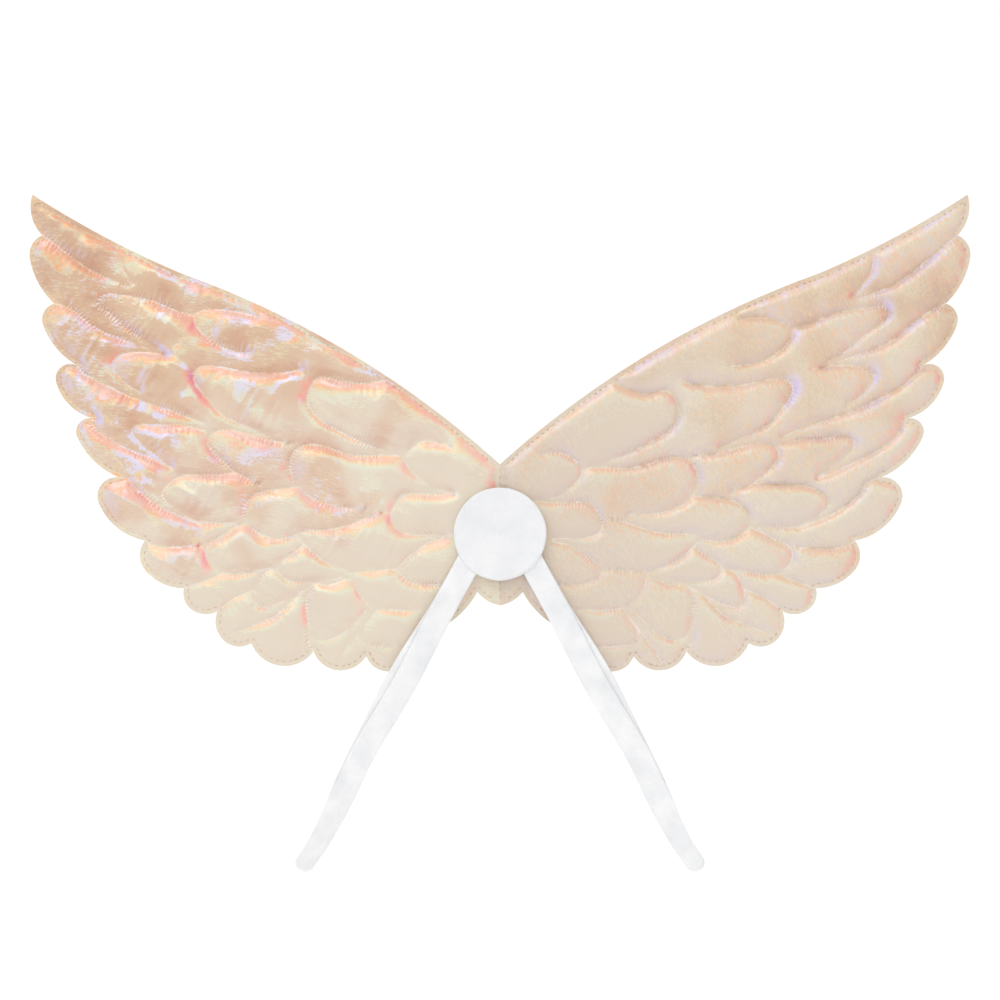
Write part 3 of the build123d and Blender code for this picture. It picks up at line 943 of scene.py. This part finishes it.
def edge_stitching(side_name, material):
    """The running stitch round a wing, on both faces of the rim."""
    side = SIDES[side_name]
    path = stitch_path(STITCH_INSET)
    path = path[path[:, 0] > STITCH_INSET + 0.6]
    breaks = np.where(np.hypot(*np.diff(path, axis=0).T) > 2)[0] + 1
    parts = []
    for k, stretch in enumerate(np.split(path, breaks)):
        for y, sign in RIM_FACES:
            parts += stitches(stretch, y, sign, 20 + k + side)
    vertices, faces = merged(parts)
    vertices[:, 0] *= side
    if side < 0:
        faces = [face[::-1] for face in faces]
    piece = new_mesh(f"{side_name}_edge_stitches", vertices, faces, material)
    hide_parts(f"{side_name}_inner_edge_seam", f"{side_name}_outer_edge_seam")
    fold_blend(piece)


def centre_stitching(material):
    """The stitches that join the two wings."""
    path = resample([(0.0, SEAM_TOP[1] - 2), (0.0, SEAM_BOTTOM[1] + 2)], 0.5)
    parts = []
    for y, sign in RIM_FACES:
        parts += stitches(path, y, sign, 5)
    piece = new_mesh("centre_stitches", *merged(parts), material)
    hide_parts("centre_seam")
    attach(piece, "hub")


# ---------------------------------------------------------------- the felt pad

def felt_disc(material):
    """The pad: a pressed disc whose face sags a little round the strap ends under it."""
    rings, around = ((48, 160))
    edge_radius = 1.3
    flat = PAD_RADIUS - edge_radius
    quarter = np.linspace(0, math.pi / 2, 9)[1:]
    radii = np.concatenate((np.linspace(0, flat, rings - 8)[1:], flat + edge_radius * np.sin(quarter)))
    drops = np.concatenate((np.zeros(rings - 9), edge_radius * (1 - np.cos(quarter))))
    angle = np.arange(around) / around * 2 * math.pi
    vertices = [(0.0, 0.0, 0.0)]
    for r, drop in zip(radii, drops):
        wobble = 1 + 0.004 * np.sin(3 * angle + 1) + 0.003 * np.sin(7 * angle)
        x, z = r * wobble * np.cos(angle), r * wobble * np.sin(angle)
        p = np.column_stack((x, z))
        sag = 0.22 * (1 + patches(p, 7, 41)) * smooth_step(PAD_RADIUS - r, 0, 5)
        fuzz = 0.05 * patches(p, 1.1, 42) + 0.03 * patches(p, 0.6, 43)
        vertices += [tuple(v) for v in np.column_stack((x, drop + 0.12 + sag + fuzz, z))]
    count = len(radii)
    for y in (PAD_THICKNESS - 0.35, PAD_THICKNESS - 0.05):
        vertices += [(PAD_RADIUS * math.cos(a), y, PAD_RADIUS * math.sin(a)) for a in angle]
    vertices.append((0.0, PAD_THICKNESS - 0.05, 0.0))
    faces = [(0, 1 + (i + 1) % around, 1 + i) for i in range(around)]
    faces += [tuple(i + 1 for i in face) for face in swept_faces(count + 2, around)]
    last, base = len(vertices) - 1, 1 + (count + 1) * around
    faces += [(last, base + i, base + (i + 1) % around) for i in range(around)]
    piece = new_mesh("felt_disc", np.array(vertices), [f[::-1] for f in faces], material)
    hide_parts("felt_pad")
    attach(piece, "hub")


# ---------------------------------------------------------------- the arm loops

STRAP_WIDTH = 12.3
BAND_TOP = -21.0
LOOP_DROP = 168.5
FOLD_RADIUS = 3.4
LEG_POINTS = 90
SECTION_STEPS = 22


def loop_path():
    """The band's middle line as (distance down the strap, y), and its leg: 0 is the rear, 1 the front."""
    s = np.linspace(BAND_TOP, LOOP_DROP - FOLD_RADIUS, LEG_POINTS)
    forwards = 0.35 * smooth_step(s, 5, 60) + 0.8 * smooth_step(s, 90, 160)
    rear_y = PAD_THICKNESS - STRAP_THICKNESS / 2 - forwards
    spread = 1.7 * smooth_step(s, 15, 95) * (1 - smooth_step(s, 110, LOOP_DROP - FOLD_RADIUS))
    apart = 2 * FOLD_RADIUS * smooth_step(s, 60, LOOP_DROP - 8)
    front_y = rear_y - np.maximum(STRAP_THICKNESS * 1.05, np.maximum(spread, apart))
    turn = np.linspace(0, math.pi, 13)[1:-1]
    middle, radius = (rear_y[-1] + front_y[-1]) / 2, (rear_y[-1] - front_y[-1]) / 2
    fold = np.column_stack((s[-1] + radius * np.sin(turn), middle + radius * np.cos(turn)))
    path = np.vstack((np.column_stack((s, rear_y)), fold, np.column_stack((s, front_y))[::-1]))
    round_fold = np.linspace(0, 1, len(turn) + 2)[1:-1]
    return path, np.concatenate((np.zeros(LEG_POINTS), round_fold, np.ones(LEG_POINTS)))


def band_section():
    """The elastic's flat section with thin edges, as (across, through) points."""
    half, thick = STRAP_WIDTH / 2, STRAP_THICKNESS / 2 * 0.85
    upper = []
    for k in range(SECTION_STEPS + 1):
        from_edge = min(k, SECTION_STEPS - k) / SECTION_STEPS
        upper.append((-half + 2 * half * k / SECTION_STEPS, thick * min(1, 0.35 + 8.8 * from_edge)))
    return upper + [(across, -through) for across, through in reversed(upper)]


def arm_loop(side_name, material):
    """One elastic band from its sewn end, down the rear leg, round the fold and up the front leg."""
    side = SIDES[side_name]
    hinge = Vector(JOINTS[f"{side_name}_strap_swing"]["pos_m"]) / MM
    axis = Vector(JOINTS[f"{side_name}_strap_swing"]["axis"]).normalized()
    down = Vector((0, -1, 0)).cross(axis).normalized()
    if down.z > 0:
        down = -down
    out = Vector((side * abs(down.z), 0, abs(down.x)))
    path, leg = loop_path()

    # Sideways the legs fan apart in the middle, meet at the fold and bow outwards a little.
    t = path[:, 0]
    fan = 1.8 * smooth_step(t, 12, 62) * (1 - 0.8 * smooth_step(t, 62, 105))
    fan *= 1 - smooth_step(t, 115, 150)
    bow = 0.9 * smooth_step(t, 0, 70) - 2.4 * smooth_step(t, 98, 148) + smooth_step(t, 152, LOOP_DROP)
    shift = bow + np.where(leg < 0.5, 1, -1) * fan * np.abs(2 * leg - 1)
    narrow = 1 - 0.12 * smooth_step(t, 120, 165)
    twist = 0.45 * smooth_step(t, 105, 165)
    rippled = 0.1 * smooth_step(t, 5, 30)
    rounded = 3.2 * smooth_step(t, LOOP_DROP - 14, LOOP_DROP)

    run = run_along(path)
    heading = np.gradient(path, axis=0)
    heading /= np.hypot(*heading.T)[:, None]
    section = band_section()
    ring = len(section)
    vertices = []
    for k, (point, head) in enumerate(zip(path, heading)):
        normal = np.array((-head[1], head[0]))
        for across, through in section:
            from_middle = abs(across) / (STRAP_WIDTH / 2)
            ripple = rippled[k] * math.sin(t[k] / 5.1 + 2 * leg[k]) * from_middle ** 2
            drop, y = point + normal * (through + ripple)
            sideways = across * narrow[k] * math.cos(twist[k]) + shift[k]
            place = hinge + down * float(drop - rounded[k] * from_middle ** 3) + out * float(sideways)
            vertices.append((place.x, y - across * narrow[k] * math.sin(twist[k]), place.z))
    faces = closed_sweep(len(path), ring)
    if side < 0:
        faces = [f[::-1] for f in faces]
    layers = {"across": [across for across, _ in section] * len(path), "along": np.repeat(run, ring)}
    piece = new_mesh(f"{side_name}_elastic_loop", np.array(vertices), faces, material, layers)
    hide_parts(f"{side_name}_arm_loop", f"{side_name}_strap_end")
    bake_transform(piece)


# ---------------------------------------------------------------- stage

def area_light(name, energy, size, place, aim=(0, 0, 0.03)):
    """A square soft light at place that points at aim, or at the wings."""
    lamp = bpy.data.lights.new(name, "AREA")
    lamp.energy, lamp.size = energy, size
    obj = placed(name, lamp)
    obj.location = place
    obj.rotation_euler = (Vector(aim) - Vector(place)).to_track_quat("-Z", "Y").to_euler()


def stage():
    """A white floor that curves up into a backdrop, soft light from above and a long lens."""
    floor_z, back_y, depth, bend = -0.26, 4.5, 6.0, 1.5
    profile = [(-depth, floor_z), (back_y - bend, floor_z)]
    profile += [(back_y - bend + bend * math.sin(a), floor_z + bend - bend * math.cos(a))
                for a in np.linspace(0, math.pi / 2, 16)[1:]]
    profile.append((back_y, 6.0))
    vertices = np.array([(x, y, z) for x in (-7, 7) for y, z in profile]) / MM
    count = len(profile)
    faces = [(i, i + 1, i + 1 + count, i + count) for i in range(count - 1)]
    floor = new_mesh("floor", vertices, faces, pale_floor("floor_white"))

    world = bpy.data.worlds.new("studio")
    world.use_nodes = True
    background = world.node_tree.nodes["Background"]
    background.inputs["Color"].default_value = (1, 1, 1, 1)
    background.inputs["Strength"].default_value = 0.77
    bpy.context.scene.world = world
    area_light("key", 6.5, 0.9, (-0.55, -1.0, 1.15))
    area_light("fill", 1.2, 1.4, (1.0, -1.3, 0.35))
    area_light("back_fill", 2.0, 1.2, (0.5, 1.6, 0.9))
    area_light("backdrop_light", 90, 4.0, (0, 2.2, 4.2), (0, 4.5, 0.4))

    camera = bpy.data.cameras.new("camera")
    camera.lens = 108
    camera.sensor_width = 36
    camera.clip_end = 20
    obj = placed("camera", camera)
    obj.location = (0, -1.5, 0.017)
    obj.rotation_euler = (math.pi / 2, 0, 0)
    bpy.context.scene.camera = obj
    bpy.context.scene.view_settings.view_transform = "Standard"


def main():
    """Build the whole scene."""
    stage()
    thread = sewing_thread("beige_thread")
    backing = backing_satin("cream_satin")
    fibre = wadding_fibre("white_wadding")
    elastic = woven_elastic("white_elastic")
    for side_name, side in SIDES.items():
        satin = iridescent_satin(side_name)
        fine = Pattern(SPACING, side)
        coarse = Pattern(WADDING_SPACING, side)
        fine.inflate(EDGE_REACH[side_name])
        coarse.inflate(EDGE_REACH[side_name])
        outer = front_depth(fine, side)
        inner = np.minimum(outer + COVER_THICKNESS, MIDDLE_Y - 0.02)
        cover(fine, side_name, "front_cover", outer, inner, satin)
        fine.inflate(BACK_EDGE_REACH)
        outer = back_depth(fine, side)
        inner = np.maximum(outer - COVER_THICKNESS, MIDDLE_Y + 0.02)
        cover(fine, side_name, "back_cover", outer, inner, backing)
        wadding(coarse, side_name, fibre)
        edge_stitching(side_name, thread)
        arm_loop(side_name, elastic)
    centre_stitching(thread)
    felt_disc(white_felt("white_felt"))
    carried_over = {"pad_glue": hot_glue("glue"), "left_bar_tacks": thread, "right_bar_tacks": thread}
    for node, material in carried_over.items():
        mesh = frame["nodes"][node].data
        mesh.materials.clear()
        mesh.materials.append(material)


main()
